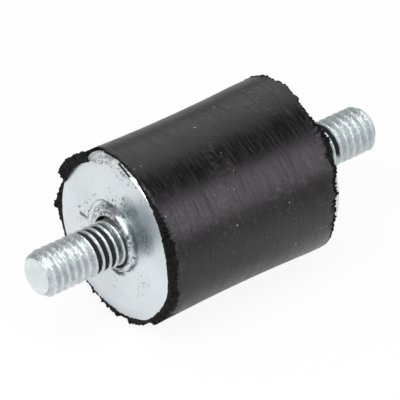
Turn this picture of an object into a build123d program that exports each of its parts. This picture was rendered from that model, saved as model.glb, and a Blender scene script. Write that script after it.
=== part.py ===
from build123d import *
import math
import os
import random

# A bobbin vibration mount: a rubber cylinder with a zinc-plated steel plate bonded into
# each end, and a male stud headed behind each plate. The axis runs along X. The origin
# is on the axis, in the crest of the front plate's collar, where the front stud's thread
# starts and a nut or bracket seats. The rear end lies at +X.
# Lengths are in millimetres and angles in degrees.

# Rubber body
rubber_diameter = 30.0       # at each rim
height_over_plates = 35.6    # from the front plate's outer face to the rear plate's
waist_depth = 0.3            # how far the side draws in halfway between the rims
rim_wall = 1.0               # rubber skin round the edge of each plate
bond_line = 0.05             # adhesive film between the rubber and what is bonded in it

# Plates
plate_thickness = 2.5
plate_edge_round = 0.4       # rolled outer edge
plate_back_chamfer = 0.3

# Collar pressed up round the hole of each plate
collar_ledge = 0.15          # how much wider its bore is than the hole, on the radius
collar_wall = 1.6            # width of the ring at the plate's face
collar_height = 0.9
collar_round = 0.35          # on the mouth of its bore
collar_flank = 0.8           # width of the rounded outer slope
collar_well = 0.5            # depth of the bore below the plate's face

# Studs
stud_diameter = 7.94         # major diameter of the 5/16-18 UNC thread
front_stud_length = 16.4     # from the plate's outer face to the tip
rear_stud_length = 17.1
stud_chamfer = 0.9
blank_step = 0.4             # how far the unthreaded shank in the collar lies inside it
shoulder_step = 0.25         # how far the shoulder in the plate's hole stands outside it
shoulder_clearance = 0.05    # between that shoulder and the hole
head_overhang = 3.75         # how far the head reaches past the shoulder
head_thickness = 2.2
head_round = 0.5

# Torn moulding flash at the rims, in teeth of uneven width, height and reach
flash_teeth = 84             # round one rim
flash_root = 2.3             # how far behind the plate's outer face the smooth side ends
flash_thickness = 0.45       # how far down from its top a tooth's reach is torn
flash_uneven = 0.35          # share by which a tooth's width wanders
flash_step = 0.12            # how far a tooth's top wanders
flash_ragged = 0.2           # how far a tooth's reach wanders

# Where each rim's tear runs, at angles from +Y towards +Z: how far the flash is torn off
# behind the plate's outer face, or below zero in front of it, and how far it reaches past
# the side. The front rim keeps a flap from 24 to 67 degrees, next to it the tear bares the
# plate's edge, and it has a gouge at 240 degrees. The rear rim is torn deepest on its -Y side.
front_tear = (
    (-45, 0.3, 0.0), (-6, 0.2, 0.0), (-4, -0.3, 0.6), (1, -0.3, 0.5), (3, 0.0, 0.0),
    (12, 0.4, 0.0), (16, 0.8, -0.2), (24, -0.5, 0.5), (44, -0.55, 0.55), (67, -0.5, 0.4),
    (69, 1.8, 0.0), (82, 1.7, 0.0), (90, 1.2, 0.0), (100, 0.8, 0.0), (110, 0.5, 0.0),
    (120, 0.1, -0.2), (135, -0.1, 0.0), (155, -0.45, 0.0), (180, -0.45, 0.0), (200, 0.0, 0.0),
    (233, 0.2, 0.0), (238, 1.1, -0.7), (243, 1.1, -0.7), (246, 0.6, 0.0), (256, 0.6, 0.1),
    (260, 1.1, 0.0), (300, 1.0, 0.0),
)
rear_tear = (
    (60, -0.4, 0.2), (72, -0.5, 0.2), (90, -0.3, 0.0), (103, 0.2, 0.0), (110, 0.8, 0.0),
    (122, 1.0, 0.0), (130, 0.1, 0.0), (146, 0.3, 0.0), (160, 1.2, 0.0), (180, 1.9, 0.0),
    (200, 1.7, 0.0), (225, 0.6, 0.0), (260, 0.2, 0.0), (300, 0.1, 0.0), (380, 0.2, 0.0),
)

rubber_radius = rubber_diameter / 2
plate_radius = rubber_radius - rim_wall - bond_line
stud_radius = stud_diameter / 2
shoulder_radius = stud_radius + shoulder_step
hole_radius = shoulder_radius + shoulder_clearance
collar_bore_radius = hole_radius + collar_ledge
collar_radius = collar_bore_radius + collar_wall
head_radius = shoulder_radius + head_overhang
front_face = collar_height
rear_face = front_face + height_over_plates


def turned(outline):
    """The solid turned from a half section of (x, radius) lines, about the X axis."""
    return revolve(make_face(outline), axis=Axis.X)


def at_front(solid):
    """Seat a piece at the front end. Such a piece is made with its plate's outer face in
    x = 0, looking along -X."""
    return Pos(front_face, 0, 0) * solid


def at_rear(solid):
    """Turn such a piece round, and seat it at the rear end."""
    return Location((rear_face, 0, 0), (0, 180, 0)) * solid


def make_plate():
    """Plate with the collar pressed up round its hole."""
    crest = -collar_height
    flank = collar_radius - collar_flank
    outline = Curve() + [
        Polyline(
            (plate_thickness, hole_radius),
            (collar_well, hole_radius),
            (collar_well, collar_bore_radius),
            (crest + collar_round, collar_bore_radius),
        ),
        RadiusArc(
            (crest + collar_round, collar_bore_radius),
            (crest, collar_bore_radius + collar_round),
            collar_round,
        ),
        Line((crest, collar_bore_radius + collar_round), (crest, flank)),
        ThreePointArc(
            (crest, flank),
            (0.68 * crest, collar_radius - 0.32 * collar_flank),
            (0, collar_radius),
        ),
        Line((0, collar_radius), (0, plate_radius - plate_edge_round)),
        RadiusArc(
            (0, plate_radius - plate_edge_round),
            (plate_edge_round, plate_radius),
            plate_edge_round,
        ),
        Polyline(
            (plate_edge_round, plate_radius),
            (plate_thickness - plate_back_chamfer, plate_radius),
            (plate_thickness, plate_radius - plate_back_chamfer),
            (plate_thickness, hole_radius),
        ),
    ]
    return turned(outline)


def make_stud(length):
    """Headed stud. Its flat round head is seated on the back of the plate, and a shoulder
    fills the plate's hole. A short unthreaded shank in the collar leads to the thread,
    here at its major diameter, which starts at the collar's crest and ends chamfered."""
    head_back = plate_thickness + head_thickness
    tip_radius = stud_radius - stud_chamfer
    outline = Curve() + [
        Polyline(
            (-length, 0),
            (-length, tip_radius),
            (-length + stud_chamfer, stud_radius),
            (-collar_height, stud_radius),
            (-collar_height + blank_step, stud_radius - blank_step),
            (collar_well, stud_radius - blank_step),
            (collar_well, shoulder_radius),
            (plate_thickness, shoulder_radius),
            (plate_thickness, head_radius),
            (head_back - head_round, head_radius),
        ),
        RadiusArc(
            (head_back - head_round, head_radius),
            (head_back, head_radius - head_round),
            head_round,
        ),
        Polyline((head_back, head_radius - head_round), (head_back, 0), (-length, 0)),
    ]
    return turned(outline)


def make_cavity():
    """The room that one plate and stud head take up in the rubber, with the adhesive
    film round their edges. It reaches out past the rim."""
    wall = plate_radius + bond_line
    head_wall = head_radius + bond_line
    head_back = plate_thickness + head_thickness
    outside = -plate_thickness
    outline = Curve() + [
        Polyline(
            (outside, 0),
            (outside, plate_radius - plate_edge_round),
            (0, plate_radius - plate_edge_round),
        ),
        RadiusArc(
            (0, plate_radius - plate_edge_round),
            (plate_edge_round + bond_line, wall),
            plate_edge_round + bond_line,
        ),
        Polyline(
            (plate_edge_round + bond_line, wall),
            (plate_thickness, wall),
            (plate_thickness, head_wall),
            (head_back, head_wall),
            (head_back, 0),
            (outside, 0),
        ),
    ]
    return turned(outline)


def tear_at(rows, angle):
    """How far behind the plate's face, and past the side, a rim is torn at an angle."""
    first = rows[0]
    angle = first[0] + (angle - first[0]) % 360
    closed = rows + ((first[0] + 360, *first[1:]),)
    for (start, *here), (end, *there) in zip(closed, closed[1:]):
        if angle <= end:
            share = (angle - start) / (end - start)
            return [a + (b - a) * share for a, b in zip(here, there)]


def make_tooth(low, high, start, end, start_radius, end_radius):
    """A piece of a rim's ring between two places along X and two angles, from the flat of
    the plate out to a radius at each angle."""
    inner = plate_radius - plate_edge_round
    corners = []
    for radius, angle in ((inner, start), (start_radius, start), (end_radius, end), (inner, end)):
        turn = math.radians(angle)
        corners.append((radius * math.cos(turn), radius * math.sin(turn)))
    face = make_face(Polyline(*corners, close=True))
    return Pos(low, 0, 0) * extrude(Plane.YZ * face, amount=high - low)


def make_flash(rng, rows, face, inward):
    """The torn teeth round one rim, from the end of the smooth side out to the tear.
    Inward is the way along X from the plate's outer face into the rubber."""
    root = face + inward * flash_root
    edge = []
    for tooth in range(flash_teeth):
        wander = rng.uniform(-flash_uneven, flash_uneven)
        angle = rows[0][0] + 360 * (tooth + wander) / flash_teeth
        ragged = rng.uniform(-flash_ragged, flash_ragged)
        edge.append((angle, rubber_radius + tear_at(rows, angle)[1] + ragged))
    edge.append((edge[0][0] + 360, edge[0][1]))
    teeth = []
    for (start, start_radius), (end, end_radius) in zip(edge, edge[1:]):
        depth = tear_at(rows, (start + end) / 2)[0] + rng.uniform(-flash_step, flash_step)
        torn_depth = min(depth + flash_thickness, flash_root)
        top = face + inward * depth
        torn = face + inward * torn_depth
        teeth.append(make_tooth(
            min(top, torn), max(top, torn), start, end, start_radius, end_radius))
        if torn_depth < flash_root:
            teeth.append(make_tooth(
                min(torn, root), max(torn, root), start, end, rubber_radius, rubber_radius))
    return teeth


def make_rubber():
    """Waisted rubber body with its torn rims, and with both plates and heads seated."""
    front_side = front_face + flash_root
    rear_side = rear_face - flash_root
    middle = (front_side + rear_side) / 2
    outline = Curve() + [
        Line((front_side, 0), (front_side, rubber_radius)),
        ThreePointArc(
            (front_side, rubber_radius),
            (middle, rubber_radius - waist_depth),
            (rear_side, rubber_radius),
        ),
        Polyline((rear_side, rubber_radius), (rear_side, 0), (front_side, 0)),
    ]
    body = turned(outline)
    body += make_flash(random.Random(3), front_tear, front_face, 1)
    body += make_flash(random.Random(8), rear_tear, rear_face, -1)
    cavity = make_cavity()
    return body - at_front(cavity) - at_rear(cavity)


parts = {
    "rubber_body": make_rubber(),
    "front_plate": at_front(make_plate()),
    "front_stud": at_front(make_stud(front_stud_length)),
    "rear_plate": at_rear(make_plate()),
    "rear_stud": at_rear(make_stud(rear_stud_length)),
}

os.makedirs("parts", exist_ok=True)
for name, solid in parts.items():
    solid.label = name
    export_step(solid, f"parts/{name}.step")
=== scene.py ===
import math

import bpy
from mathutils import Matrix, Vector, noise


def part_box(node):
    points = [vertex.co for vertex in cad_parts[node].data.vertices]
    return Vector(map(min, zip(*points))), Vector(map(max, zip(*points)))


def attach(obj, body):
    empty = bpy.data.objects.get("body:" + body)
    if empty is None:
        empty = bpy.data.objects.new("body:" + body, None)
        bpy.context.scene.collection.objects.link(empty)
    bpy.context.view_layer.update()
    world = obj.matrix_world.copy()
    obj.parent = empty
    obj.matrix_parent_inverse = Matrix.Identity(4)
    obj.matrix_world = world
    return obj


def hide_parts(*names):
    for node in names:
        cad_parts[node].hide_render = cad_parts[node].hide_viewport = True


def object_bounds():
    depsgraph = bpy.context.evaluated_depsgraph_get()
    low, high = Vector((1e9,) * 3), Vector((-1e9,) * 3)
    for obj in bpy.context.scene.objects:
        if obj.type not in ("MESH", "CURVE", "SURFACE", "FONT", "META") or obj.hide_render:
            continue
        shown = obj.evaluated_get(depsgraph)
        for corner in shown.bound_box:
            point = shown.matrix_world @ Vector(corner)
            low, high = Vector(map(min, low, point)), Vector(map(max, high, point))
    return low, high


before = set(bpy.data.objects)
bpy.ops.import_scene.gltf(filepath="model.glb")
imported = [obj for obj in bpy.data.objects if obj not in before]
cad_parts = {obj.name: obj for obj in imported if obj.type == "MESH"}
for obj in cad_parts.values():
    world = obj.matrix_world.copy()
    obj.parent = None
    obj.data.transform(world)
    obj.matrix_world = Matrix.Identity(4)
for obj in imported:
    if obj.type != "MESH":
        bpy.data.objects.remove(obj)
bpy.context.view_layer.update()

MM = 0.001

# ---------------------------------------------------------------------------------------
# End plates. Each is a pressed disc of mild steel with a rolled edge, and a collar raised
# round its hole by the punch that staked the stud. Both are zinc plated, and the punch
# left scuffs and dents round the collar.

PLATE_THICKNESS = 2.5
PLATE_EDGE_ROUND = 0.4
COLLAR_HEIGHT = 0.9
COLLAR_RADIUS = 6.02
COLLAR_BORE = 4.42
COLLAR_MOUTH = 0.35
COLLAR_FLANK = 1.1
COLLAR_WELL = 0.5
COLLAR_SHIFT = (0.35, 0.24)
COLLAR_LIFT = 0.35
COLLAR_DRAWN = 0.85
COLLAR_DENT = 0.16
COLLAR_SQUEEZE = 0.014
COLLAR_HIGH_SIDE = 150
SIDE_SWELL = 0.6
SWELL_FROM = 46
SWELL_TO = 128
PLATE_AROUND = 256
HOLE_RADIUS = 4.27
PLATE_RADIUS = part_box("front_plate")[1].z / MM
FRONT_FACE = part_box("front_plate")[1].x / MM - PLATE_THICKNESS
REAR_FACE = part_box("rear_plate")[0].x / MM + PLATE_THICKNESS


def edit(piece):
    """Goes into edit mode on one piece, with nothing else selected."""
    if bpy.context.object and bpy.context.object.mode == "EDIT":
        bpy.ops.object.mode_set(mode="OBJECT")
    bpy.ops.object.select_all(action="DESELECT")
    piece.select_set(True)
    bpy.context.view_layer.objects.active = piece
    bpy.ops.object.mode_set(mode="EDIT")


def finish_mesh(smooth=None):
    """Merges the doubles of the piece in edit mode, points its faces outwards and leaves
    edit mode. Smooth is the angle in degrees up to which its edges are shaded smooth."""
    bpy.ops.mesh.select_all(action="SELECT")
    bpy.ops.mesh.remove_doubles(threshold=0.002 * MM)
    bpy.ops.mesh.normals_make_consistent(inside=False)
    bpy.ops.object.mode_set(mode="OBJECT")
    if smooth is not None:
        bpy.ops.object.shade_smooth_by_angle(angle=math.radians(smooth))


def limited(value):
    return min(1.0, max(0.0, value))


def arc(x, radius, size, start, end, steps):
    """(x, radius) points on a round of that size about (x, radius), angles in degrees
    from +X towards larger radius, ends included."""
    points = []
    for step in range(steps + 1):
        turn = math.radians(start + (end - start) * step / steps)
        points.append((x + size * math.cos(turn), radius + size * math.sin(turn)))
    return points


def turned(name, outline, around, capped=False):
    """A circle drawn out along (x, radius) points in mm into a piece turned about the
    X axis. A capped piece is solid to the axis at both ends."""
    bpy.ops.object.select_all(action="DESELECT")
    x, radius = outline[0]
    bpy.ops.mesh.primitive_circle_add(
        vertices=around, radius=radius * MM, fill_type="NGON" if capped else "NOTHING",
        location=(x * MM, 0, 0), rotation=(0, math.pi / 2, 0))
    piece = bpy.context.object
    piece.name = piece.data.name = name
    bpy.ops.object.transform_apply(location=True, rotation=True, scale=True)
    edit(piece)
    bpy.ops.mesh.select_all(action="SELECT")
    for next_x, next_radius in outline[1:]:
        grow = next_radius / radius
        bpy.ops.mesh.extrude_region_move(
            TRANSFORM_OT_translate={"value": ((next_x - x) * MM, 0, 0)})
        bpy.ops.transform.resize(value=(1, grow, grow), center_override=(next_x * MM, 0, 0))
        x, radius = next_x, next_radius
    return piece


def plate_outline():
    """Half section of a plate whose outer face lies in x = 0 and looks along -X."""
    crest = -COLLAR_HEIGHT
    mouth = COLLAR_BORE + COLLAR_MOUTH
    flank = COLLAR_RADIUS - COLLAR_FLANK
    edge = PLATE_RADIUS - PLATE_EDGE_ROUND
    points = [(PLATE_THICKNESS, HOLE_RADIUS), (COLLAR_WELL, HOLE_RADIUS)]
    points += [(COLLAR_WELL, COLLAR_BORE)]
    points += arc(crest + COLLAR_MOUTH, mouth, COLLAR_MOUTH, 270, 180, 8)
    for step in range(1, 13):
        turn = math.radians(90 * step / 12)
        points.append((crest * math.cos(turn) ** 0.9, flank + COLLAR_FLANK * math.sin(turn)))
    points += arc(PLATE_EDGE_ROUND, edge, PLATE_EDGE_ROUND, 180, 90, 8)
    points += [(depth, PLATE_RADIUS) for depth in (0.55, 0.7, 0.85, 1.0, 1.2, 1.5, 1.8)]
    points += [(PLATE_THICKNESS - 0.3, PLATE_RADIUS), (PLATE_THICKNESS, PLATE_RADIUS - 0.3)]
    return points


def rim_swell(angle, depth):
    """How far the front plate's side stands proud at the top, where the flash came off it,
    at an angle in degrees and a depth in mm."""
    share = limited((angle - SWELL_FROM) / 12) * limited((SWELL_TO - angle) / 16)
    rise = limited((depth - 0.1) / 1.4)
    return SIDE_SWELL * share * rise * rise * (3 - 2 * rise)


def upset(piece, face, inward):
    """Beats dents into the collar, as the staking punch left them. The front one was
    struck off the middle, and stands higher on one side. The front plate's side swells."""
    for vertex in piece.data.vertices:
        x, y, z = vertex.co / MM
        radius = math.hypot(y, z)
        depth = (x - face) * inward
        angle = math.degrees(math.atan2(z, y))
        if COLLAR_BORE - 0.01 < radius < COLLAR_RADIUS + 0.01 and depth < 0.01:
            place = Vector((face, y, z))
            proud = limited(-depth / 0.3)
            dent = noise.noise(place * 0.9) + 0.6 * noise.noise(place * 2.3)
            squeeze = noise.noise(place * 1.3 + Vector((9, 0, 0)))
            squeeze = 1 + COLLAR_SQUEEZE * proud * squeeze
            x += inward * COLLAR_DENT * proud * max(0.0, dent)
            y, z = y * squeeze, z * squeeze
            if inward == 1:
                side = limited(0.5 + 0.7 * math.cos(math.radians(angle - COLLAR_HIGH_SIDE)))
                x += COLLAR_LIFT * side * depth / COLLAR_HEIGHT
                share = (radius - COLLAR_BORE) / (COLLAR_RADIUS - COLLAR_BORE)
                drawn = (COLLAR_BORE + COLLAR_DRAWN * (radius - COLLAR_BORE)) / radius
                y = y * drawn + COLLAR_SHIFT[0] * share
                z = z * drawn + COLLAR_SHIFT[1] * share
        elif inward == 1 and radius > PLATE_RADIUS - PLATE_EDGE_ROUND + 0.01:
            swell = 1 + rim_swell(angle, depth) / radius
            y, z = y * swell, z * swell
        vertex.co = Vector((x, y, z)) * MM


def make_plate(name, face, inward):
    """A plate with its outer face at x = face. Inward is 1 at the front and -1 behind."""
    outline = [(face + inward * x, radius) for x, radius in plate_outline()]
    piece = turned(name, outline + outline[:1], PLATE_AROUND)
    finish_mesh(35)
    upset(piece, face, inward)
    return piece


def node(tree, kind, inputs=None, **settings):
    """A shader node with its settings, and its sockets set to values or linked."""
    made = tree.nodes.new(kind)
    for key, value in settings.items():
        setattr(made, key, value)
    for key, value in (inputs or {}).items():
        if isinstance(value, bpy.types.NodeSocket):
            tree.links.new(value, made.inputs[key])
        else:
            made.inputs[key].default_value = value
    return made


def math_node(tree, operation, *values):
    made = node(tree, "ShaderNodeMath", operation=operation, inputs=dict(enumerate(values)))
    return made.outputs[0]


def product(tree, *values):
    """Several values or masks times each other."""
    result = values[0]
    for value in values[1:]:
        result = math_node(tree, "MULTIPLY", result, value)
    return result


def strongest(tree, *masks):
    """The largest of several masks at each place."""
    result = masks[0]
    for mask in masks[1:]:
        result = math_node(tree, "MAXIMUM", result, mask)
    return result


def scaled(tree, value, factor, base):
    """A value times a factor, plus a base."""
    return math_node(tree, "MULTIPLY_ADD", value, factor, base)


def ramp(tree, value, low, high, out_low=0.0, out_high=1.0):
    """A smooth step of a value from one range to another."""
    made = node(tree, "ShaderNodeMapRange", interpolation_type="SMOOTHSTEP", inputs={
        "Value": value, "From Min": low, "From Max": high,
        "To Min": out_low, "To Max": out_high})
    return made.outputs[0]


def band(tree, value, low, high, soft):
    """1 where a value lies between low and high, with soft ends."""
    return product(tree, ramp(tree, value, low - soft, low + soft),
                   ramp(tree, value, high + soft, high - soft))


def texture(tree, where, scale, detail=4.0, roughness=0.6):
    """Noise at each place, from 0 to 1."""
    made = node(tree, "ShaderNodeTexNoise", inputs={
        "Vector": where, "Scale": scale, "Detail": detail, "Roughness": roughness})
    return made.outputs[0]


def mix(tree, share, first, second):
    """A colour that goes from the first to the second by share."""
    made = node(tree, "ShaderNodeMix", data_type="RGBA", inputs={0: share, 6: first, 7: second})
    return made.outputs[2]


def coated(tree, colour, *coats):
    """A colour under coats, each of them a mask, how much of it counts, and its colour."""
    for mask, share, coat in coats:
        colour = mix(tree, product(tree, mask, share), colour, (*coat, 1))
    return colour


def tinted(tree, level, red, green, blue):
    """A colour of three parts, each times the level."""
    parts = {index: product(tree, level, part) for index, part in enumerate((red, green, blue))}
    return node(tree, "ShaderNodeCombineColor", inputs=parts).outputs[0]


def new_group(name, inputs, outputs):
    """A shader node group with float and vector inputs, and its two end nodes. Its outputs
    are floats."""
    tree = bpy.data.node_groups.new(name, "ShaderNodeTree")
    for key, value in inputs.items():
        kind = "NodeSocketVector" if key == "Vector" else "NodeSocketFloat"
        socket = tree.interface.new_socket(key, in_out="INPUT", socket_type=kind)
        if key != "Vector":
            socket.default_value = value
    for key in outputs:
        tree.interface.new_socket(key, in_out="OUTPUT", socket_type="NodeSocketFloat")
    return tree, tree.nodes.new("NodeGroupInput"), tree.nodes.new("NodeGroupOutput")


def make_zinc_group():
    """Bright zinc plating: cloudy patches and a fine crystalline grain."""
    tree, come, go = new_group("zinc_plating", {"Vector": None, "Cloud": 1.0, "Grain": 1.0},
                               ("Tint", "Roughness", "Height"))
    where = come.outputs["Vector"]
    cloudy = product(tree, ramp(tree, texture(tree, where, 160.0), 0.35, 0.7),
                     come.outputs["Cloud"])
    grainy = product(tree, texture(tree, where, 2600.0, 5.0, 0.65), come.outputs["Grain"])
    tint = scaled(tree, grainy, -0.06, scaled(tree, cloudy, -0.10, 1.0))
    rough = scaled(tree, grainy, 0.10, scaled(tree, cloudy, 0.10, 0.30))
    for key, value in (("Tint", tint), ("Roughness", rough), ("Height", grainy)):
        tree.links.new(value, go.inputs[key])
    return tree


def make_specks_group():
    """Scattered specks: a cell shows one where its own number is under the density."""
    tree, come, go = new_group(
        "specks", {"Vector": None, "Scale": 1.0, "Density": 0.1, "Size": 0.2}, ("Mask",))
    cells = node(tree, "ShaderNodeTexVoronoi", feature="F1", inputs={
        "Vector": come.outputs["Vector"], "Scale": come.outputs["Scale"]})
    number = node(tree, "ShaderNodeSeparateColor", inputs={0: cells.outputs["Color"]})
    chosen = math_node(tree, "LESS_THAN", number.outputs[0], come.outputs["Density"])
    size = product(tree, come.outputs["Size"], number.outputs[1])
    near = ramp(tree, cells.outputs["Distance"], size, 0.0)
    tree.links.new(product(tree, chosen, near), go.inputs["Mask"])
    return tree


ZINC_GROUP = make_zinc_group()
SPECKS_GROUP = make_specks_group()


def new_material(name):
    """An empty material, its node tree, its object coordinates and their parts."""
    material = bpy.data.materials.new(name)
    material.use_nodes = True
    tree = material.node_tree
    tree.nodes.clear()
    where = node(tree, "ShaderNodeTexCoord").outputs["Object"]
    parts = node(tree, "ShaderNodeSeparateXYZ", inputs={0: where})
    return material, tree, where, parts.outputs


def from_axis(tree, parts):
    """Distance from the X axis in mm."""
    y2 = product(tree, parts[1], parts[1])
    z2 = product(tree, parts[2], parts[2])
    return product(tree, math_node(tree, "SQRT", math_node(tree, "ADD", y2, z2)), 1 / MM)


def angle_round(tree, parts):
    """Angle about the X axis in degrees, from +Y towards +Z."""
    return math_node(tree, "DEGREES", math_node(tree, "ARCTAN2", parts[2], parts[1]))


def surface(tree, material_inputs, height, strength, distance):
    """The Principled shader with a bump from a height, and its output."""
    bump = node(tree, "ShaderNodeBump", inputs={
        "Strength": strength, "Distance": distance, "Height": height})
    shader = node(tree, "ShaderNodeBsdfPrincipled", inputs={
        **material_inputs, "Normal": bump.outputs[0]})
    node(tree, "ShaderNodeOutputMaterial", inputs={0: shader.outputs[0]})


def blob(tree, parts, y, z, size):
    """A soft round patch about a place on a plate, given in mm."""
    dy = math_node(tree, "DIVIDE", math_node(tree, "SUBTRACT", parts[1], y * MM), size * MM)
    dz = math_node(tree, "DIVIDE", math_node(tree, "SUBTRACT", parts[2], z * MM), size * MM)
    d2 = math_node(tree, "ADD", product(tree, dy, dy), product(tree, dz, dz))
    return ramp(tree, d2, 1.0, 0.0)


def dash(tree, where, start, end, width):
    """A short dark line on the front plate's side between two (depth, angle, radius)
    places in mm and degrees."""
    ends = []
    for depth, angle, radius in (start, end):
        turn = math.radians(angle)
        place = Vector((FRONT_FACE + depth, radius * math.cos(turn), radius * math.sin(turn)))
        ends.append(place * MM)
    along = ends[1] - ends[0]
    offset = node(tree, "ShaderNodeVectorMath", operation="SUBTRACT", inputs={0: where, 1: ends[0]})
    share = node(tree, "ShaderNodeVectorMath", operation="DOT_PRODUCT", inputs={
        0: offset.outputs[0], 1: along / along.length_squared})
    share = node(tree, "ShaderNodeClamp", inputs={0: share.outputs["Value"]})
    near = node(tree, "ShaderNodeVectorMath", operation="SCALE", inputs={
        0: along, "Scale": share.outputs[0]})
    gap = node(tree, "ShaderNodeVectorMath", operation="DISTANCE", inputs={
        0: offset.outputs[0], 1: near.outputs[0]})
    return ramp(tree, gap.outputs["Value"], width * MM, 0.4 * width * MM)


def make_plate_material():
    """Satin zinc on the plates. Scuffs, tool lines and pits lie round the collar, and bits of
    rubber cling to the edge where the flash was torn off. The colour also holds painted light: a
    grey reflection of the stud beside the collar, and painted shade in the collar's mouth, below
    the stud, on one side of the collar's flank and along the face's lower rim."""
    material, tree, where, parts = new_material("zinc_plated_disc")
    zinc = node(tree, "ShaderNodeGroup", node_tree=ZINC_GROUP, inputs={
        "Vector": where, "Cloud": 0.5, "Grain": 0.6}).outputs
    angle = angle_round(tree, parts)
    radius = from_axis(tree, parts)
    shifted = node(tree, "ShaderNodeVectorMath", operation="SUBTRACT", inputs={
        0: where, 1: Vector((0, *COLLAR_SHIFT)) * MM})
    shifted = node(tree, "ShaderNodeSeparateXYZ", inputs={0: shifted.outputs[0]})
    collar = from_axis(tree, shifted.outputs)

    def cloudy(scale, low, high, rough=0.65):
        return ramp(tree, texture(tree, where, scale, 4.0, rough), low, high)

    def zone(first, last, inner, outer, soft=6.0):
        """A patch between two angles and two radii in mm."""
        return product(tree, band(tree, angle, first, last, soft),
                       band(tree, radius, inner, outer, 0.3))

    def ring(first, last, inner, outer, soft=6.0):
        """As a zone, but with its radii from the middle of the collar."""
        return product(tree, band(tree, angle, first, last, soft),
                       band(tree, collar, inner, outer, 0.15))

    # Pits, and the lines that the punch drew round the collar.
    wander = scaled(tree, cloudy(330.0, 0.3, 0.7), 0.5, -0.25)
    drifted = math_node(tree, "ADD", radius, wander)
    collar_drifted = math_node(tree, "ADD", collar, product(tree, wander, 0.5))
    worn = cloudy(620.0, 0.38, 0.56, 0.7)
    faint = strongest(tree, zone(-158, -122, 6.4, 10.0), zone(-102, -84, 6.4, 10.0))
    pits = product(tree, cloudy(1900.0, 0.53, 0.64, 0.5), cloudy(480.0, 0.42, 0.56), strongest(
        tree, zone(-10, 14, 6.6, 9.8), zone(14, 52, 7.2, 8.6), zone(74, 128, 6.4, 9.6),
        zone(144, 168, 6.0, 9.0), zone(70, 126, 12.3, 14.2, 10.0), product(tree, faint, 0.5)))
    line_at = math_node(tree, "SUBTRACT", drifted, ramp(tree, angle, 52.0, 94.0, 7.0, 5.85))
    tool_line = product(tree, band(tree, line_at, -0.12, 0.12, 0.08), worn,
                        band(tree, angle, 2.0, 108.0, 6.0))
    heavy_line = product(tree, band(tree, line_at, -0.26, 0.20, 0.10),
                         band(tree, angle, 68.0, 100.0, 5.0), cloudy(700.0, 0.28, 0.46))
    outer_line = product(tree, band(tree, drifted, 7.9, 8.15, 0.1), cloudy(900.0, 0.46, 0.54),
                         band(tree, angle, 10.0, 50.0, 5.0))
    scratch = product(tree, zone(2.5, 7.0, 7.2, 9.2, 1.5), worn)

    # The collar's foot, crest and bore, and its burnished side, with painted shade in the
    #     # bore's mouth, below the stud and on one side of the flank.
    foot = product(tree, band(tree, collar_drifted, 5.74, 5.92, 0.09), cloudy(260.0, 0.28, 0.55))
    turned_streaks = node(tree, "ShaderNodeCombineXYZ", inputs={
        0: product(tree, collar, 3.4), 1: product(tree, angle, 0.06)})
    streaks = ramp(tree, texture(tree, turned_streaks.outputs[0], 1.0, 3.0), 0.50, 0.60)
    scuffed = product(tree, streaks, strongest(
        tree, ring(30, 120, 4.6, 6.2), ring(8, 60, 4.6, 5.4), ring(-60, 30, 5.1, 6.1),
        ring(-180, -100, 4.6, 6.2)))
    crumbled = product(tree, strongest(
        tree, ring(30, 165, 4.3, 5.6), product(tree, ring(-180, 180, 4.6, 5.9), 0.4)),
        cloudy(1500.0, 0.50, 0.58))
    # Painted shadow of the stud, on the collar's lower side.
    shadow_below_stud = product(tree, band(tree, angle, -110.0, -70.0, 8.0),
                     band(tree, drifted, 4.7, 6.35, 0.3), cloudy(800.0, 0.22, 0.46))
    # Painted shade in the collar's mouth, where the stud goes in.
    mouth = product(tree, ramp(tree, radius, 4.62, 4.46), band(tree, angle, -60.0, 120.0, 25.0))
    # Painted shade on one side of the collar's flank.
    flank = product(tree, ring(96, 168, 5.1, 6.1, 10.0), cloudy(500.0, 0.20, 0.55))
    burnished = ring(-80, 62, 4.9, 6.3, 12.0)

    # A grey patch on the face, painted as a reflection of the stud; painted shade along the
    #     # face's lower rim; and the edge that the flash came off.
    speckled = scaled(tree, cloudy(1700.0, 0.36, 0.60), 0.4, 0.6)
    # Painted reflection: the grey patch beside the collar stands for the stud mirrored in the face.
    stud_reflection = product(tree, speckled, ramp(tree, collar, 5.4, 6.0), strongest(
        tree, blob(tree, parts, -6.4, 3.9, 4.2), blob(tree, parts, -3.8, 7.3, 3.3),
        product(tree, blob(tree, parts, -6.4, 6.4, 5.2), 0.5)))
    shade = product(tree, ramp(tree, radius, 11.4, 13.4), band(tree, angle, -122.0, -24.0, 16.0))
    edge = ramp(tree, radius, 13.5, 13.9)
    bared = product(tree, edge, band(tree, angle, 50.0, 98.0, 7.0))
    clinging = product(tree, edge, cloudy(1300.0, 0.47, 0.58), band(tree, angle, 66.0, 86.0, 8.0))
    strewn = product(tree, ramp(tree, radius, 12.9, 13.5), cloudy(1700.0, 0.49, 0.60, 0.5),
                     band(tree, angle, 62.0, 108.0, 8.0))
    slit = dash(tree, where, (0.77, 89.6, 14.29), (0.27, 103.0, 13.96), 0.27)

    marks = strongest(tree, *(product(tree, mask, share) for mask, share in (
        (pits, 0.75), (tool_line, 0.8), (outer_line, 0.7), (heavy_line, 0.85), (scratch, 0.85),
        (foot, 0.7), (scuffed, 0.8), (crumbled, 0.85), (clinging, 0.7), (strewn, 0.55))))
    # Painted shade in the collar's mouth and below the stud, with the dark line of rubber left on
    # the plate's side.
    shade_and_remnant = strongest(tree, product(tree, shadow_below_stud, 0.88), product(tree, mouth, 0.92), slit)
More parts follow.
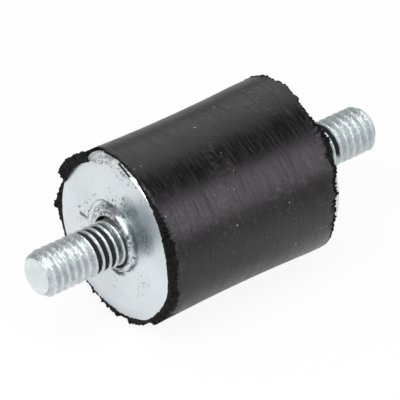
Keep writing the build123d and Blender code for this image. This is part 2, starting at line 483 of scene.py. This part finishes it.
    # The coats paint a reflection of the stud, and shade on the collar's flank, along the lower
    # rim, in the collar's mouth and below the stud.
    colour = coated(
        tree, tinted(tree, zinc["Tint"], 0.75, 0.80, 0.82),
        (stud_reflection, 0.88, (0.22, 0.29, 0.33)), (flank, 0.55, (0.28, 0.34, 0.33)),
        (shade, 0.35, (0.40, 0.44, 0.46)), (bared, 0.5, (0.86, 0.86, 0.86)),
        (burnished, 0.6, (0.80, 0.85, 0.86)), (marks, 1.0, (0.06, 0.067, 0.07)),
        (shade_and_remnant, 1.0, (0.02, 0.021, 0.022)))
    rough = scaled(tree, strongest(tree, marks, shade_and_remnant), 0.3, zinc["Roughness"])
    matt = strongest(tree, product(tree, bared, 0.5), product(tree, burnished, 0.45))
    surface(tree, {"Base Color": colour, "Metallic": math_node(tree, "SUBTRACT", 0.85, matt),
                   "Roughness": rough},
            scaled(tree, marks, -1.5, zinc["Height"]), strength=0.4, distance=0.00005)
    return material


plate_material = make_plate_material()
for plate_name, face, inward in (("front_plate", FRONT_FACE, 1), ("rear_plate", REAR_FACE, -1)):
    plate = make_plate(plate_name + "_disc", face, inward)
    plate.data.materials.append(plate_material)
    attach(plate, "root")
    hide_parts(plate_name)

# ---------------------------------------------------------------------------------------
# Studs. Each is a headed 5/16-18 stud with a rolled thread, zinc plated. Its flat head lies on
# the back of its plate, under the rubber, and a shoulder fills the plate's hole.

PITCH = 25.4 / 18
THREAD_RADIUS = 3.97
THREAD_DEPTH = 0.84
SHOULDER_RADIUS = 4.22
CREST_SHARE = 0.15
TIP_CHAMFER = 0.9
HEAD_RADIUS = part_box("front_stud")[1].z / MM
HEAD_ROUND = 0.5
STUD_AROUND = 96
FRONT_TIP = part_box("front_stud")[0].x / MM
REAR_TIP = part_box("rear_stud")[1].x / MM
FRONT_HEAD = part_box("front_stud")[1].x / MM
REAR_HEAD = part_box("rear_stud")[0].x / MM
FRONT_CREST = FRONT_TIP + 2.1
REAR_CREST = REAR_TIP - 1.3

# The stretches of thread that are fouled with bonding agent.
FRONT_FOULED = (FRONT_FACE - 6.9, FRONT_FACE - 2.1)
REAR_FOULED = (REAR_FACE + 2.1, REAR_FACE + 9.1)


def drawn_line(name, points):
    """A line of edges drawn point by point through (x, radius) points in mm."""
    bpy.ops.object.select_all(action="DESELECT")
    bpy.ops.mesh.primitive_plane_add(size=MM, location=(0, 0, 0))
    piece = bpy.context.object
    piece.name = piece.data.name = name
    edit(piece)
    bpy.ops.mesh.select_all(action="SELECT")
    bpy.ops.mesh.merge(type="CENTER")
    x, radius = points[0]
    bpy.ops.transform.translate(value=(x * MM, 0, radius * MM))
    for next_x, next_radius in points[1:]:
        bpy.ops.mesh.extrude_vertices_move(TRANSFORM_OT_translate={
            "value": ((next_x - x) * MM, 0, (next_radius - radius) * MM)})
        x, radius = next_x, next_radius
    bpy.ops.object.mode_set(mode="OBJECT")
    return piece


def thread_line():
    """One pitch of the thread's outline: rounded crest, flank, rounded root, flank."""
    crest, root = THREAD_RADIUS, THREAD_RADIUS - THREAD_DEPTH
    shape = (
        (0.000, crest - 0.20), (0.065, crest - 0.05), (0.095, crest - 0.01), (0.130, crest),
        (0.170, crest), (0.205, crest - 0.01), (0.235, crest - 0.05),
        (0.400, (crest + root) / 2), (0.560, root + 0.05), (0.600, root + 0.01), (0.650, root),
        (0.700, root + 0.01), (0.740, root + 0.05), (0.900, (crest + root) / 2),
        (1.000, crest - 0.20))
    return [(share * PITCH, radius) for share, radius in shape]


def make_thread(name, low, high, crest):
    """A solid right-handed thread about the X axis, cut off square at low and high. A crest
    crosses the stud's top at x = crest."""
    first = crest - CREST_SHARE * PITCH
    first -= PITCH * math.ceil((first - low) / PITCH + 1)
    piece = drawn_line(name, [(first + x, r) for x, r in thread_line()])
    screw = piece.modifiers.new("thread", "SCREW")
    screw.axis = "X"
    screw.angle = 2 * math.pi
    screw.screw_offset = PITCH * MM
    screw.iterations = math.ceil((high - low) / PITCH) + 3
    screw.steps = screw.render_steps = STUD_AROUND
    screw.use_merge_vertices = True
    screw.merge_threshold = 0.001 * MM
    bpy.context.view_layer.objects.active = piece
    bpy.ops.object.modifier_apply(modifier=screw.name)
    for place, inner, outer in ((low, True, False), (high, False, True)):
        edit(piece)
        bpy.ops.mesh.select_all(action="SELECT")
        bpy.ops.mesh.bisect(plane_co=(place * MM, 0, 0), plane_no=(1, 0, 0), use_fill=True,
                            clear_inner=inner, clear_outer=outer, threshold=0.0001 * MM)
        bpy.ops.object.mode_set(mode="OBJECT")
    return piece


def make_stud(name, tip, head, inward, crest):
    """A stud from its tip to the back of its head. Inward is 1 at the front."""
    face = FRONT_FACE if inward > 0 else REAR_FACE
    well = face + inward * COLLAR_WELL
    back = face + inward * PLATE_THICKNESS
    thread = make_thread(name, min(tip, well), max(tip, well), crest)
    for vertex in thread.data.vertices:
        x, y, z = vertex.co / MM
        radius = math.hypot(y, z)
        limit = THREAD_RADIUS - TIP_CHAMFER + abs(x - tip)
        if radius > limit:
            vertex.co = Vector((x, y * limit / radius, z * limit / radius)) * MM
    outline = [(well, SHOULDER_RADIUS), (back, SHOULDER_RADIUS), (back, HEAD_RADIUS)]
    for x, radius in arc(-HEAD_ROUND, HEAD_RADIUS - HEAD_ROUND, HEAD_ROUND, 90, 0, 6):
        outline.append((head + inward * x, radius))
    shank = turned(name + "_head", outline, STUD_AROUND, capped=True)
    bpy.ops.mesh.select_all(action="SELECT")
    bpy.ops.mesh.fill_holes(sides=0)
    finish_mesh()
    bpy.ops.object.select_all(action="DESELECT")
    shank.select_set(True)
    thread.select_set(True)
    bpy.context.view_layer.objects.active = thread
    bpy.ops.object.join()
    edit(thread)
    finish_mesh(40)
    return thread


def make_stud_material():
    """Dull bright zinc, mottled, and brighter on the flat ends. Black bonding agent fills the
    thread's grooves near each plate. Painted shade darkens the thread's grooves, more so next
    to the collars, and the stud where it goes into a collar."""
    material, tree, where, parts = new_material("zinc_plated_stud")
    zinc = node(tree, "ShaderNodeGroup", node_tree=ZINC_GROUP, inputs={
        "Vector": where, "Cloud": 1.0, "Grain": 1.0}).outputs
    x = product(tree, parts[0], 1 / MM)
    worn = texture(tree, where, 900.0, 5.0, 0.65)
    mottle = texture(tree, where, 420.0, 3.0, 0.55)
    mottled = ramp(tree, mottle, 0.40, 0.60)
    knocks = texture(tree, where, 1250.0, 2.0, 0.5)
    flecks = ramp(tree, knocks, 0.44, 0.62, 0.0, 0.13)
    ends = strongest(tree, ramp(tree, x, FRONT_TIP + 0.06, FRONT_TIP + 0.02),
                     ramp(tree, x, REAR_TIP - 0.06, REAR_TIP - 0.02))
    edge = scaled(tree, worn, 0.34, math_node(tree, "SUBTRACT", from_axis(tree, parts), 0.09))
    # Painted shade: the thread's grooves are darkened.
    groove = ramp(tree, edge, THREAD_RADIUS - 0.02, THREAD_RADIUS - 0.40)
    filled = ramp(tree, edge, THREAD_RADIUS - 0.12, THREAD_RADIUS - 0.26)
    fouled = product(tree, filled, strongest(
        tree, band(tree, x, *FRONT_FOULED, 0.2),
        product(tree, band(tree, x, *REAR_FOULED, 0.2), ramp(tree, parts[2], -0.0012, 0.0))))
    # Painted shade: the grooves next to the collar, and the stud where it goes into the collar's
    # mouth, are darkened further.
    collar_shade = product(
        tree, strongest(tree, groove, ramp(tree, x, FRONT_FACE - 1.3, FRONT_FACE - 1.0)),
        band(tree, x, FRONT_FOULED[1] - 0.4, REAR_FOULED[0] + 0.4, 0.2))
    shine = scaled(tree, ends, 0.31, math_node(tree, "ADD", flecks, 0.67))
    tint = tinted(tree, zinc["Tint"], shine, math_node(tree, "ADD", shine, 0.045),
                  math_node(tree, "ADD", shine, 0.06))
    patchy = product(tree, mottled, scaled(tree, ends, -0.3, 0.35))
    # The groove and collar coats are painted shade; the last coat is the bonding agent.
    colour = coated(
        tree, tint, (patchy, 1.0, (0.47, 0.53, 0.54)), (groove, 0.35, (0.36, 0.42, 0.43)),
        (collar_shade, 0.8, (0.09, 0.115, 0.11)), (fouled, 0.97, (0.010, 0.010, 0.011)))
    rough = math_node(tree, "SUBTRACT", zinc["Roughness"], 0.09)
    rough = scaled(tree, fouled, 0.3, scaled(tree, mottled, 0.12, rough))
    height = scaled(tree, knocks, 2.6, scaled(tree, mottle, 2.4, zinc["Height"]))
    height = product(tree, height, scaled(tree, ends, -0.85, 1.0))
    surface(tree, {"Base Color": colour, "Metallic": scaled(tree, fouled, -0.75, 0.75),
                   "Roughness": rough, "Specular IOR Level": 0.12},
            height, strength=1.0, distance=0.00006)
    return material


stud_material = make_stud_material()
for stud_name, tip, head, inward, crest in (
        ("front_stud", FRONT_TIP, FRONT_HEAD, 1, FRONT_CREST),
        ("rear_stud", REAR_TIP, REAR_HEAD, -1, REAR_CREST)):
    stud = make_stud(stud_name + "_threaded", tip, head, inward, crest)
    stud.data.materials.append(stud_material)
    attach(stud, "root")
    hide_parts(stud_name)

# ---------------------------------------------------------------------------------------
# Rubber body. It is one moulding of black natural rubber, vulcanised onto both plates and
# drawn in a little at the waist. Its rims end in flash that was torn off by hand, so they
# are ragged and crumbly, and a flap of it still covers part of the front plate's edge.

RUBBER_RADIUS = 15.0
WAIST_DEPTH = 0.3
BOND_LINE = 0.05
AROUND = 1080
LAND_RINGS = 11
SIDE_RINGS = 9
SIDE_DEPTHS = (0.12, 0.24, 0.36, 0.5, 0.65, 0.8, 1.0, 1.2, 1.45, 1.75, 2.1, 2.6, 3.2)
FLAP_ROOT = 1.4
FLAP_SHEAR = 7.5
FLAP_END_FROM = 42
FLAP_END_TO = 60
FARTHEST_REACH = 0.62
TORN_FROM = 0.3

# Where the tear of each rim runs, at angles from +Y towards +Z. Each row gives how far the
# flash is torn off behind the plate's outer face, or below zero in front of it, first at
# the plate's edge and then at the side, how far it reaches past the side, and how toothed
# the tear is.
FRONT_TEAR = (
    (-60, 0.0, 0.7, 0.0, 0.2), (-22, 0.05, 0.5, -0.1, 0.05), (-16, 0.05, 0.4, -0.1, 0.04),
    (-10, 0.05, 0.2, 0.0, 0.05), (-5, 0.05, 0.15, 0.1, 0.08), (-4.2, 0.0, -0.3, 0.45, 0.04),
    (0.6, 0.0, -0.3, 0.35, 0.04), (1.4, 0.05, -0.1, 0.15, 0.1), (6, 0.05, 0.1, 0.0, 0.12),
    (10, 0.1, 0.4, 0.0, 0.12), (15, 0.2, 0.7, -0.1, 0.08), (18, 0.3, 0.9, -0.2, 0.08),
    (19.5, 0.1, 0.1, 0.0, 0.1), (22, -0.1, 0.0, 0.1, 0.1), (23.5, -0.4, -0.5, 0.5, 0.15),
    (32, -0.55, -0.6, 0.55, 0.15), (42, -0.5, -0.55, 0.5, 0.15), (48, -0.5, -0.5, 0.35, 0.12),
    (52, -0.5, -0.5, 0.25, 0.12), (56.5, -0.45, -0.5, 0.2, 0.12), (58, 2.35, 2.2, 0.1, 0.05),
    (66, 2.3, 2.0, 0.1, 0.05), (69.5, 2.1, 1.8, 0.05, 0.05), (72.5, 1.62, 1.35, 0.05, 0.08),
    (77.5, 1.45, 1.15, 0.05, 0.08), (84, 1.3, 1.0, 0.0, 0.08), (90.5, 1.13, 0.8, 0.0, 0.1),
    (96.5, 0.88, 0.6, 0.0, 0.1), (102, 0.78, 0.45, 0.0, 0.1), (108, 0.67, 0.35, 0.0, 0.1),
    (111.5, 0.5, 0.2, 0.0, 0.12), (117.5, 0.3, 0.05, -0.1, 0.12), (125, 0.13, -0.1, -0.2, 0.15),
    (131, 0.04, -0.12, -0.15, 0.15), (138, -0.02, -0.12, 0.0, 0.2), (143, -0.1, -0.2, 0.0, 0.2),
    (150, -0.3, -0.2, 0.0, 0.25), (158, -0.48, -0.2, 0.0, 0.25), (178, -0.5, -0.2, 0.0, 0.2),
    (190, -0.25, -0.1, 0.0, 0.2), (200, 0.0, 0.0, 0.0, 0.15), (220, 0.0, 0.0, 0.0, 0.15),
    (233, 0.05, 0.2, 0.0, 0.1), (238, 0.25, 1.1, -0.8, 0.1), (242, 0.25, 1.1, -0.8, 0.1),
    (246, 0.0, 0.6, 0.0, 0.15), (256, 0.0, 0.55, 0.1, 0.15), (259, 0.0, 0.3, 0.3, 0.1),
    (260.5, 0.0, 1.1, -0.1, 0.55), (300, 0.0, 1.1, -0.1, 0.55))
REAR_TEAR = (
    (60, -0.4, -0.4, 0.15, 0.1), (71, -0.5, -0.5, 0.2, 0.1), (73, -0.2, -0.2, 0.1, 0.1),
    (80, -0.1, -0.1, 0.0, 0.12), (91, -0.3, -0.3, 0.0, 0.1), (93, 0.0, 0.0, 0.0, 0.12),
    (97, 0.2, 0.2, 0.0, 0.12), (103, 0.2, 0.2, 0.0, 0.12), (105, 0.5, 0.5, 0.0, 0.14),
    (110, 0.8, 0.8, 0.0, 0.14), (114, 1.0, 1.0, 0.0, 0.14), (122, 1.0, 1.0, 0.0, 0.2),
    (126, 0.5, 0.5, 0.0, 0.3), (129, 0.05, 0.1, 0.0, 0.3), (132, 0.1, 0.15, 0.0, 0.3),
    (135, 0.3, 0.3, 0.0, 0.3), (146, 0.3, 0.35, 0.0, 0.3), (150, 0.75, 0.75, 0.0, 0.25),
    (155, 0.75, 0.75, 0.0, 0.2), (160, 1.15, 1.15, 0.0, 0.2), (170, 1.4, 1.4, 0.0, 0.25),
    (180, 1.9, 1.9, 0.0, 0.25), (197, 1.75, 1.7, 0.0, 0.25), (205, 1.3, 1.3, 0.0, 0.08),
    (215, 0.95, 0.95, 0.0, 0.03), (225, 0.7, 0.7, 0.0, 0.03), (235, 0.5, 0.5, 0.0, 0.03),
    (260, 0.2, 0.3, 0.0, 0.1), (300, 0.0, 0.3, 0.0, 0.2), (380, 0.1, 0.2, 0.0, 0.2))

# How deep the fresh black break runs down the side from the tear, and how far the flash
# laps in over the plate's face, at angles round each rim.
FRONT_BREAK = (
    (-60, 0.6, 0.0), (20, 0.6, 0.0), (33, 0.6, 0.2), (45, 0.6, 0.1), (57, 0.6, 0.0),
    (58, 0.15, 0.0), (72, 0.2, 0.0), (78, 0.35, 0.0), (112, 0.4, 0.0), (125, 0.6, 0.0),
    (142, 0.9, 0.0), (152, 1.2, 0.0), (162, 1.7, 0.0), (172, 1.1, 0.0), (184, 1.0, 0.0),
    (198, 1.9, 0.0), (212, 2.4, 0.0), (228, 1.8, 0.0), (245, 1.0, 0.0), (299, 0.6, 0.0))
REAR_BREAK = (
    (60, 0.3, 0.0), (100, 0.4, 0.0), (118, 0.8, 0.0), (130, 1.9, 0.0), (160, 1.6, 0.0),
    (200, 1.0, 0.0), (215, 0.3, 0.0), (380, 0.4, 0.0))


def rim_outline():
    """Half section of a rim before it is torn, as (depth behind the plate's face, radius)
    points from the back of the plate round to the side."""
    flat = PLATE_RADIUS - PLATE_EDGE_ROUND
    size = PLATE_EDGE_ROUND + BOND_LINE
    points = [(depth, flat + size) for depth in (PLATE_THICKNESS, 2.0, 1.5, 1.0)]
    points += arc(size, flat, size, 90, 180, 5)
    for ring in range(1, LAND_RINGS + 1):
        points.append((0.0, flat + (RUBBER_RADIUS - flat) * ring / LAND_RINGS))
    points += [(depth, RUBBER_RADIUS) for depth in SIDE_DEPTHS]
    return points


def rubber_outline():
    """Half section of the rubber from the front head's room to the rear head's."""
    head_wall = HEAD_RADIUS + BOND_LINE
    front = [(FRONT_HEAD, head_wall), (FRONT_FACE + PLATE_THICKNESS, head_wall)]
    front += [(FRONT_FACE + depth, radius) for depth, radius in rim_outline()]
    rear = [(REAR_FACE - depth, radius) for depth, radius in reversed(rim_outline())]
    rear += [(REAR_FACE - PLATE_THICKNESS, head_wall), (REAR_HEAD, head_wall)]
    start, end = front[-1][0], rear[0][0]
    side = []
    for ring in range(1, SIDE_RINGS):
        along = ring / SIDE_RINGS
        side.append((start + (end - start) * along,
                     RUBBER_RADIUS - WAIST_DEPTH * 4 * along * (1 - along)))
    return front + side + rear


def tear_at(rows, angle):
    """The tear's depth at the plate, its depth at the side, its reach and its teeth, at an
    angle in degrees."""
    first = rows[0]
    angle = first[0] + (angle - first[0]) % 360
    closed = rows + ((first[0] + 360, *first[1:]),)
    for (start, *here), (end, *there) in zip(closed, closed[1:]):
        if angle <= end:
            share = (angle - start) / (end - start)
            return [a + (b - a) * share for a, b in zip(here, there)]


def ragged(angle, scale, seed):
    """A repeatable number from -1 to 1 that wanders round the rim, in features about
    1 / scale of the radius long."""
    point = Vector((math.cos(angle) * scale, math.sin(angle) * scale, seed))
    return noise.noise(point)


def blocky(angle, scale, seed):
    """As ragged, but in steps with sharp sides."""
    point = Vector((math.cos(angle) * scale + 50, math.sin(angle) * scale + 50, seed))
    return 2 * noise.cell(point) - 1


def torn_place(depth, radius, angle, front):
    """Where a point of a smooth rim goes when its flash is torn, and how torn it is."""
    rows, breaks, seed = ((FRONT_TEAR, FRONT_BREAK, 3.3) if front else
                          (REAR_TEAR, REAR_BREAK, 7.7))
    flat = PLATE_RADIUS - PLATE_EDGE_ROUND
    wall = PLATE_RADIUS + BOND_LINE
    inner, outer, reach, toothed = tear_at(rows, math.degrees(angle))
    across = limited((radius - wall) / (RUBBER_RADIUS - wall))

    # The tear's own depth here, with its crumbs and its stepped teeth.
    around = Vector((depth, radius * math.cos(angle), radius * math.sin(angle)))
    crumb = noise.noise(around * 2.6 + Vector((seed, 0, 0)))
    crumb += 0.6 * noise.noise(around * 6.0 + Vector((0, seed, 0)))
    step = 0.6 * blocky(angle, 26, seed + 2) + ragged(angle, 30, seed + 3)
    step += 0.7 * ragged(angle, 75, seed + 4)
    level = inner + (outer - inner) * across
    proud = limited(-2.5 * level)
    level += (0.10 + 0.16 * proud) * crumb * (0.3 + across)
    level += toothed * step * (0.15 + 0.85 * across)

    # The point goes back to the tear, or out in front of the plate with the flash.
    if level > 0:
        moved = max(depth, min(level + 0.1 * depth, PLATE_THICKNESS - 0.05))
    elif radius <= wall and depth > 0.01:
        moved = depth
    else:
        moved = depth + level * limited(1 - depth / FLAP_ROOT) ** 1.5

    # How fresh the break is down the side, and how far its rag stands out.
    skin, lap = tear_at(breaks, math.degrees(angle))
    skin = skin * (1 + 0.55 * ragged(angle, 22, seed + 6)) + 1.8 * limited(-1.2 * reach - 0.2)
    fresh = limited(1 - (depth - max(level, 0)) / skin)
    tooth = 0.6 * blocky(angle, 34, seed) + ragged(angle, 24, seed) + ragged(angle, 62, seed + 1)
    out = fresh * across ** 2 * (reach + 0.8 * toothed * tooth + (0.07 + 0.1 * proud) * crumb)
    grown = radius + min(out, FARTHEST_REACH)

    # Behind the plate's face the rubber stays clear of the plate's rolled edge.
    hidden = max(0.0, PLATE_EDGE_ROUND - max(moved, 0.0))
    edge = flat + math.sqrt(PLATE_EDGE_ROUND ** 2 - hidden ** 2) + BOND_LINE
    if moved > 0:
        edge += rim_swell(math.degrees(angle), moved) if front else 0.0
        grown = max(grown, edge)
    else:
        grown -= lap * (1 - across)
    return moved, grown, fresh if radius > wall else 1.0


def tear_rims(piece):
    """Tears both rims, and keeps how torn each point is for the material. The end of the
    front flap stands out over the bared side of the plate."""
    torn = piece.data.attributes.new("torn", "FLOAT", "POINT")
    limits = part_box("rubber_body")
    for vertex in piece.data.vertices:
        x, y, z = vertex.co / MM
        radius = math.hypot(y, z)
        if radius < PLATE_RADIUS - PLATE_EDGE_ROUND - 0.1:
            continue
        angle = math.atan2(z, y)
        front = x < (FRONT_FACE + REAR_FACE) / 2
        face, inward = (FRONT_FACE, 1) if front else (REAR_FACE, -1)
        depth = (x - face) * inward
        if depth > SIDE_DEPTHS[-1] + 0.01:
            continue
        moved, grown, torn.data[vertex.index].value = torn_place(depth, radius, angle, front)
        if front:
            end = limited((math.degrees(angle) - FLAP_END_FROM) / 12)
            end *= math.degrees(angle) < FLAP_END_TO
            angle += math.radians(FLAP_SHEAR) * end * limited(-2.2 * moved)
        place = Vector((face + inward * moved, math.cos(angle) * grown, math.sin(angle) * grown))
        place *= MM
        vertex.co = [min(max(value, low), high) for value, low, high in zip(place, *limits)]


rubber = turned("rubber_body_moulding", rubber_outline(), AROUND, capped=True)
bpy.ops.mesh.select_all(action="SELECT")
bpy.ops.mesh.fill_holes(sides=0)
finish_mesh()
tear_rims(rubber)
bpy.ops.object.select_all(action="DESELECT")
rubber.select_set(True)
bpy.context.view_layer.objects.active = rubber
bpy.ops.object.shade_smooth_by_angle(angle=math.radians(45))


def stretched(tree, where, share):
    """Places with X drawn out, so that a pattern on them runs round the side."""
    made = node(tree, "ShaderNodeMapping", inputs={"Vector": where, "Scale": (share, 1.0, 1.0)})
    return made.outputs[0]


def make_rubber_material():
    """Charcoal moulded skin, with fine streaks and scores round the side, chafed patches and
    white dust."""
    material, tree, where = new_material("moulded_rubber")[:3]
    streaks = texture(tree, stretched(tree, where, 20.0), 430.0)
    streak = ramp(tree, streaks, 0.40, 0.66)
    scuffed = ramp(tree, texture(tree, stretched(tree, where, 5.0), 130.0, 4.0, 0.55), 0.42, 0.62)
    scored = ramp(tree, texture(tree, stretched(tree, where, 38.0), 150.0, 2.0, 0.5), 0.57, 0.67)
    grain = texture(tree, where, 3200.0, 4.0, 0.7)
    powder = ramp(tree, grain, 0.48, 0.70, 0.0, 0.7)
    chafed = product(tree, ramp(tree, texture(tree, where, 1500.0, 2.0), 0.50, 0.62),
                     ramp(tree, texture(tree, where, 110.0, 3.0), 0.48, 0.60))
    dust = node(tree, "ShaderNodeGroup", node_tree=SPECKS_GROUP, inputs={
        "Vector": where, "Scale": 640.0, "Density": 0.45, "Size": 0.15}).outputs[0]
    torn = node(tree, "ShaderNodeAttribute", attribute_name="torn").outputs["Fac"]
    colour = coated(
        tree, mix(tree, streak, (0.0022, 0.0020, 0.0022, 1), (0.0056, 0.0051, 0.0056, 1)),
        (powder, 1.0, (0.016, 0.0148, 0.016)), (chafed, 0.5, (0.044, 0.042, 0.044)),
        (scored, 0.8, (0.002, 0.002, 0.002)), (dust, 1.0, (0.42, 0.42, 0.43)))
    rough = scaled(tree, scuffed, 0.05, 0.27)
    for mask, more in ((streak, 0.04), (torn, 0.40), (scored, 0.22)):
        rough = scaled(tree, mask, more, rough)
    height = math_node(tree, "ADD", product(tree, streaks, 0.4), product(tree, grain, 0.75))
    surface(tree, {"Base Color": colour, "Roughness": rough,
                   "Specular Tint": (1.0, 0.955, 0.995, 1)},
            scaled(tree, scored, -0.5, height), strength=0.6, distance=0.00005)
    return material


def make_torn_material():
    """Dead black crumbly rubber where the flash was torn off."""
    material, tree, where = new_material("torn_rubber")[:3]
    crumbs = texture(tree, where, 1300.0, 6.0, 0.75)
    colour = mix(tree, ramp(tree, crumbs, 0.45, 0.68),
                 (0.0040, 0.0040, 0.0042, 1), (0.016, 0.016, 0.017, 1))
    height = scaled(tree, texture(tree, where, 480.0, 3.0), 2.0, crumbs)
    surface(tree, {"Base Color": colour, "Roughness": 0.6, "Specular IOR Level": 0.1},
            height, strength=0.9, distance=0.00015)
    return material


rubber.data.materials.append(make_rubber_material())
rubber.data.materials.append(make_torn_material())
torn_points = [point.value for point in rubber.data.attributes["torn"].data]
for polygon in rubber.data.polygons:
    if min(torn_points[index] for index in polygon.vertices) > TORN_FROM:
        polygon.material_index = 1
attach(rubber, "root")
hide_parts("rubber_body")

# ---------------------------------------------------------------------------------------
# Floor, light and camera. The mount lies on a white floor under soft studio light, seen
# with a long lens from its front left, a third of the way up.

FLOOR_SIZE = 6.0
FLOOR_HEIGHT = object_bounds()[0].z
MIDDLE = Vector(((FRONT_FACE + REAR_FACE) / 2 * MM, 0, 0))

bpy.ops.object.select_all(action="DESELECT")
bpy.ops.mesh.primitive_plane_add(size=FLOOR_SIZE, location=(0, 0, FLOOR_HEIGHT))
floor = bpy.context.object
floor.name = "floor"


def in_gloss(tree, ray):
    """1 for a ray that left a glossy or a clear surface."""
    return strongest(tree, ray["Is Glossy Ray"], ray["Is Transmission Ray"])


def make_floor_material():
    """Matt white floor that shows white where no shadow falls, and dims away from the mount
    to gloss, as a lit sweep does. To gloss it also shows a painted shadow under the mount."""
    material, tree, where, parts = new_material("white_floor")
    paint = node(tree, "ShaderNodeBsdfDiffuse", inputs={"Color": (0.85, 0.85, 0.85, 1)})
    away = node(tree, "ShaderNodeVectorMath", operation="LENGTH", inputs={0: where})
    ray = node(tree, "ShaderNodeLightPath").outputs
    gloss = in_gloss(tree, ray)
    # Painted shadow: to gloss the floor's glow is dimmed under the mount.
    under = product(tree, band(tree, parts[0], 0.004, 0.034, 0.006),
                    band(tree, parts[1], -0.030, 0.030, 0.015))
    lit = scaled(tree, under, -0.3, ramp(tree, away.outputs["Value"], 0.04, 0.13, 1.0, 0.55))
    lit = scaled(tree, gloss, math_node(tree, "SUBTRACT", lit, 1.0), 1.0)
    lamp = node(tree, "ShaderNodeEmission", inputs={"Color": (1, 1, 1, 1), "Strength": lit})
    seen = product(tree, strongest(tree, ray["Is Camera Ray"], gloss), 0.92)
    mixed = node(tree, "ShaderNodeMixShader", inputs={
        0: seen, 1: paint.outputs[0], 2: lamp.outputs[0]})
    node(tree, "ShaderNodeOutputMaterial", inputs={0: mixed.outputs[0]})
    return material


floor.data.materials.append(make_floor_material())


def make_world():
    """White to the camera. To gloss it is a studio. Towards the rear it has a long softbox on
    each side and a dark ceiling between them, towards the front one broad light overhead,
    and a white sweep below. All else gets an even light."""
    world = bpy.data.worlds.new("studio")
    bpy.context.scene.world = world
    world.use_nodes = True
    tree = world.node_tree
    tree.nodes.clear()
    way = node(tree, "ShaderNodeTexCoord").outputs["Generated"]
    parts = node(tree, "ShaderNodeSeparateXYZ", inputs={0: way}).outputs
    angle = angle_round(tree, parts)
    near_box = band(tree, angle, 126.0, 170.0, 8.0)
    far_box = band(tree, angle, 16.0, 76.0, 8.0)
    boxes = scaled(tree, near_box, 0.95, scaled(tree, far_box, 1.05, 0.015))
    over = scaled(tree, band(tree, angle, 62.0, 168.0, 14.0), 0.9, 0.12)
    ahead = ramp(tree, parts[0], 0.32, 0.12)
    boxes = math_node(tree, "ADD", product(tree, over, ahead),
                      product(tree, boxes, math_node(tree, "SUBTRACT", 1.0, ahead)))
    boxes = strongest(tree, boxes, ramp(tree, parts[2], 0.1, 0.0, 0.0, 0.6))
    ray = node(tree, "ShaderNodeLightPath").outputs
    level = scaled(tree, in_gloss(tree, ray), math_node(tree, "SUBTRACT", boxes, 0.45), 0.45)
    level = strongest(tree, level, ray["Is Camera Ray"])
    sky = node(tree, "ShaderNodeBackground", inputs={"Color": (1, 1, 1, 1), "Strength": level})
    node(tree, "ShaderNodeOutputWorld", inputs={0: sky.outputs[0]})


make_world()


def way_from_mount(azimuth, elevation):
    """A unit vector, from angles in degrees. Azimuth 0 is -Y, and it turns towards +X."""
    turn, rise = math.radians(azimuth), math.radians(elevation)
    return Vector((math.sin(turn) * math.cos(rise), -math.cos(turn) * math.cos(rise),
                   math.sin(rise)))


def softbox(name, azimuth, elevation, distance, size, power):
    """A square lamp that stands that way from the middle of the mount and is aimed at it,
    with its distance and size in metres and its power in watts."""
    back = way_from_mount(azimuth, elevation)
    lamp = bpy.data.lights.new(name, "AREA")
    lamp.shape = "SQUARE"
    lamp.size = size
    lamp.energy = power
    thing = bpy.data.objects.new(name, lamp)
    bpy.context.scene.collection.objects.link(thing)
    thing.location = MIDDLE + back * distance
    thing.rotation_mode = "QUATERNION"
    thing.rotation_quaternion = (-back).to_track_quat("-Z", "Y")


softbox("key_light", -70, 55, 0.5, 0.35, 2.2)
softbox("fill_light", 40, 25, 0.6, 0.4, 0.8)

CAMERA_AZIMUTH = -39.976
CAMERA_ELEVATION = 33.10
CAMERA_DISTANCE = 1.2
CAMERA_LENS = 666.6516
SENSOR_WIDTH = 36.0

# How far the mount's middle stands right of and below the middle of the view, in mm.
AIM_RIGHT = 0.11
AIM_DOWN = 0.19

back = way_from_mount(CAMERA_AZIMUTH, CAMERA_ELEVATION)
right = way_from_mount(CAMERA_AZIMUTH + 90, 0)
up = back.cross(right)
camera = bpy.data.objects.new("camera", bpy.data.cameras.new("camera"))
bpy.context.scene.collection.objects.link(camera)
camera.data.sensor_width = SENSOR_WIDTH
camera.data.lens = CAMERA_LENS
eye = MIDDLE + back * CAMERA_DISTANCE + (up * AIM_DOWN - right * AIM_RIGHT) * MM
camera.matrix_world = Matrix((
    (right.x, up.x, back.x, eye.x), (right.y, up.y, back.y, eye.y),
    (right.z, up.z, back.z, eye.z), (0, 0, 0, 1)))
bpy.context.scene.camera = camera

bpy.context.scene.view_settings.view_transform = "Standard"
